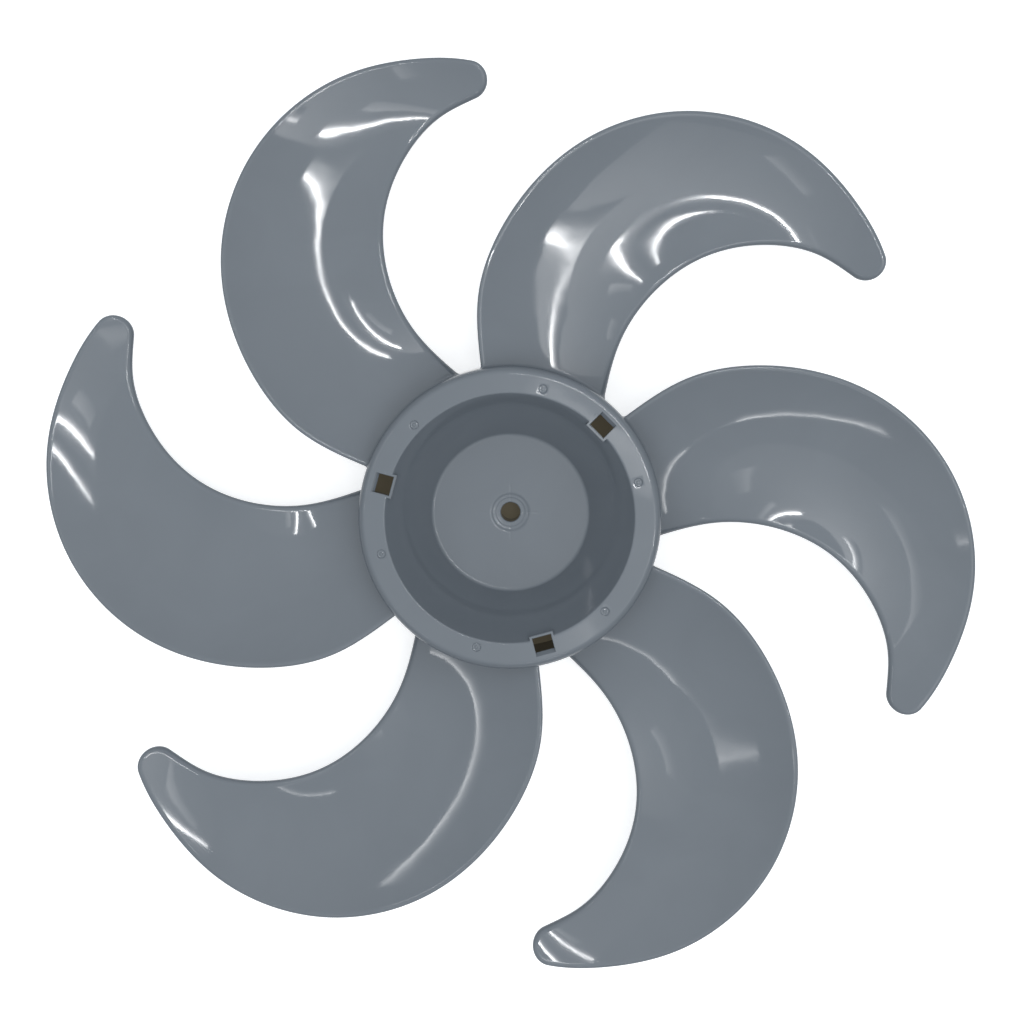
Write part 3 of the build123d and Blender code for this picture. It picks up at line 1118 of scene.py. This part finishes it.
def studio_walls(studio):
    """Walls and ceiling: lightest overhead, lighter to one side, with a white backdrop low down.

    The level is the horizon's plus a power of the direction's height, times one plus a share of its
    sideways part.
    """
    sky = bpy.data.worlds.new("studio walls")
    sky.use_nodes = True
    tree = sky.node_tree
    place = tree.nodes.new("ShaderNodeTexCoord").outputs["Generated"]
    up = new_node(tree, "ShaderNodeSeparateXYZ", {"Vector": place}).outputs["Z"]
    rise = plain_math(tree, "POWER", plain_math(tree, "MAXIMUM", up, 0.0), studio.sky_fall)
    over = plain_math(tree, "MULTIPLY", rise, studio.sky_overhead - studio.sky_horizon)
    level = plain_math(tree, "ADD", over, studio.sky_horizon)
    lean = {0: place, 1: (studio.sky_right, studio.sky_far, 0)}
    sideways = new_node(tree, "ShaderNodeVectorMath", lean, operation="DOT_PRODUCT").outputs["Value"]
    share = plain_math(tree, "ADD", sideways, 1.0)
    strength = plain_math(tree, "MULTIPLY", level, share)
    walls = tree.nodes["Background"]
    set_inputs(tree, walls, {"Color": (*studio.sky_tint, 1), "Strength": strength})
    white = new_node(tree, "ShaderNodeBackground", {"Color": (1, 1, 1, 1), "Strength": 1.0})
    rays = tree.nodes.new("ShaderNodeLightPath").outputs
    low = plain_math(tree, "LESS_THAN", up, studio.backdrop_top)
    lowest = plain_math(tree, "LESS_THAN", up, studio.backdrop_mirrored)
    seen = plain_math(tree, "MULTIPLY", low, seen_straight(tree, rays))
    mirrored = plain_math(tree, "MULTIPLY", lowest, rays["Is Glossy Ray"])
    backdrop = plain_math(tree, "MAXIMUM", seen, mirrored)
    shown = mixed_shader(tree, backdrop, walls, white)
    set_inputs(tree, tree.nodes["World Output"], {"Surface": shown.outputs["Shader"]})
    return sky


def tube_light(name, start, end, depth, power, fade, first_share, height):
    """Long flat lamp that faces down between two plan points, brightest along its far edge.

    Its light falls off across its width as the exponential of the distance from that edge, and rises
    along its length from a first share to the whole with a smooth step.
    """
    start = np.array(start)
    end = np.array(end)
    run = end - start
    long = float(np.hypot(*run))
    lamp = bpy.data.lights.new(name, "AREA")
    lamp.shape = "RECTANGLE"
    lamp.size = long
    lamp.size_y = depth
    lamp.energy = power
    lamp.use_nodes = True
    tree = lamp.node_tree
    surface = tree.nodes.new("ShaderNodeNewGeometry").outputs["Parametric"]
    parts = new_node(tree, "ShaderNodeSeparateXYZ", {"Vector": surface}).outputs
    from_edge = plain_math(tree, "SUBTRACT", parts["Y"], 1.0)
    across_level = plain_math(tree, "EXPONENT", plain_math(tree, "DIVIDE", from_edge, fade))
    along_level = smooth_step(tree, parts["X"], 0.0, 1.0, first_share)
    level = plain_math(tree, "MULTIPLY", across_level, along_level)
    strength = plain_math(tree, "DIVIDE", level, fade)
    set_inputs(tree, tree.nodes["Emission"], {"Strength": strength})
    holder = placed(name, lamp)
    middle = (start + end) / 2
    across = np.array((run[1], -run[0])) / long
    holder.location = (*(middle + across * depth / 2), height)
    holder.rotation_euler = (0, 0, float(np.arctan2(run[1], run[0])))


def white_ground(studio, hub_radius):
    """The flat floor under the rotor."""
    half = studio.floor_half
    floor = bpy.data.meshes.new("floor")
    corners = [(-half, -half, 0), (half, -half, 0), (half, half, 0), (-half, half, 0)]
    floor.from_pydata(corners, [], [(0, 1, 2, 3)])
    floor.materials.append(white_floor(studio, hub_radius))
    return placed("floor", floor)


def top_camera(studio):
    """The camera that looks down on the rotor."""
    camera = bpy.data.cameras.new("camera")
    camera.sensor_width = studio.sensor
    camera.lens = studio.lens
    camera.shift_x = studio.shift_x
    camera.shift_y = studio.shift_y
    camera.clip_start = studio.camera_near
    holder = placed("camera", camera)
    holder.location = (studio.camera_x, studio.camera_y, studio.camera_height)
    holder.rotation_euler = (studio.camera_nod, studio.camera_roll, 0)
    return holder


class FANROTOR_OT_hub(bpy.types.Operator):
    """Build the hub shell with its windows and gate marks"""

    bl_idname = "fanrotor.hub"
    bl_label = "Hub"

    def execute(self, context):
        make_piece("hub", *hub_surface(context.scene.rotor_hub))
        return {"FINISHED"}


class FANROTOR_OT_boss(bpy.types.Operator):
    """Build the slotted back of the boss and its ribs"""

    bl_idname = "fanrotor.boss"
    bl_label = "Boss"

    def execute(self, context):
        hub = context.scene.rotor_hub
        slot_top = hub.boss_clearance + hub.slot_depth
        for name, side in (("boss_claw_1", 1), ("boss_claw_2", -1)):
            make_piece(name, *prism(boss_claw(hub, side), hub.boss_clearance, slot_top))
        rib_top = hub.floor_height - hub.wall / 2
        for number, direction in enumerate(directions(0, hub.rib_count), 1):
            rib = prism(boss_rib(hub, direction), rib_top - hub.rib_drop, rib_top)
            make_piece(f"boss_rib_{number}", *rib)
        return {"FINISHED"}


class FANROTOR_OT_blades(bpy.types.Operator):
    """Build the blades, with their rounded rims and roots"""

    bl_idname = "fanrotor.blades"
    bl_label = "Blades"

    def execute(self, context):
        blade = context.scene.rotor_blades
        points, faces = blade_surface(blade, context.scene.rotor_hub)
        for number, direction in enumerate(directions(0, blade.blades), 1):
            make_piece(f"blade_{number}", turned(points, direction), faces, sharp=50)
        return {"FINISHED"}


class FANROTOR_OT_studio(bpy.types.Operator):
    """Set up the floor, the lamps and the camera"""

    bl_idname = "fanrotor.studio"
    bl_label = "Studio"

    def execute(self, context):
        scene = context.scene
        studio = scene.rotor_studio
        ground = white_ground(studio, scene.rotor_hub.skirt_radius)
        scene.world = studio_walls(studio)
        for lamp in LAMPS:
            tube_light(*lamp, studio.lamp_height)
        scene.view_settings.view_transform = "Standard"
        scene.camera = top_camera(studio)
        return {"FINISHED"}


class FANROTOR_PT_panel(bpy.types.Panel):
    """Lists the rotor's pieces and its studio"""

    bl_idname = "FANROTOR_PT_panel"
    bl_label = "Fan Rotor"
    bl_space_type = "VIEW_3D"
    bl_region_type = "UI"
    bl_category = "Fan Rotor"

    def draw(self, context):
        for operator in OPERATORS:
            self.layout.operator(operator.bl_idname)


OPERATORS = (FANROTOR_OT_hub, FANROTOR_OT_boss, FANROTOR_OT_blades, FANROTOR_OT_studio)
GROUPS = (
    ("rotor_hub", HubSizes),
    ("rotor_blades", BladeSizes),
    ("rotor_finish", PlasticFinish),
    ("rotor_studio", Studio),
)


def register():
    """Register the settings, the operators and the panel."""
    for name, group in GROUPS:
        bpy.utils.register_class(group)
        setattr(bpy.types.Scene, name, PointerProperty(type=group))
    for operator in OPERATORS:
        bpy.utils.register_class(operator)
    bpy.utils.register_class(FANROTOR_PT_panel)


def unregister():
    """Take everything back out."""
    bpy.utils.unregister_class(FANROTOR_PT_panel)
    for operator in reversed(OPERATORS):
        bpy.utils.unregister_class(operator)
    for name, group in reversed(GROUPS):
        delattr(bpy.types.Scene, name)
        bpy.utils.unregister_class(group)


def main():
    """Build the rotor and its studio."""
    register()
    bpy.ops.fanrotor.hub()
    bpy.ops.fanrotor.boss()
    bpy.ops.fanrotor.blades()
    bpy.ops.fanrotor.studio()


if __name__ == "__main__":
    main()
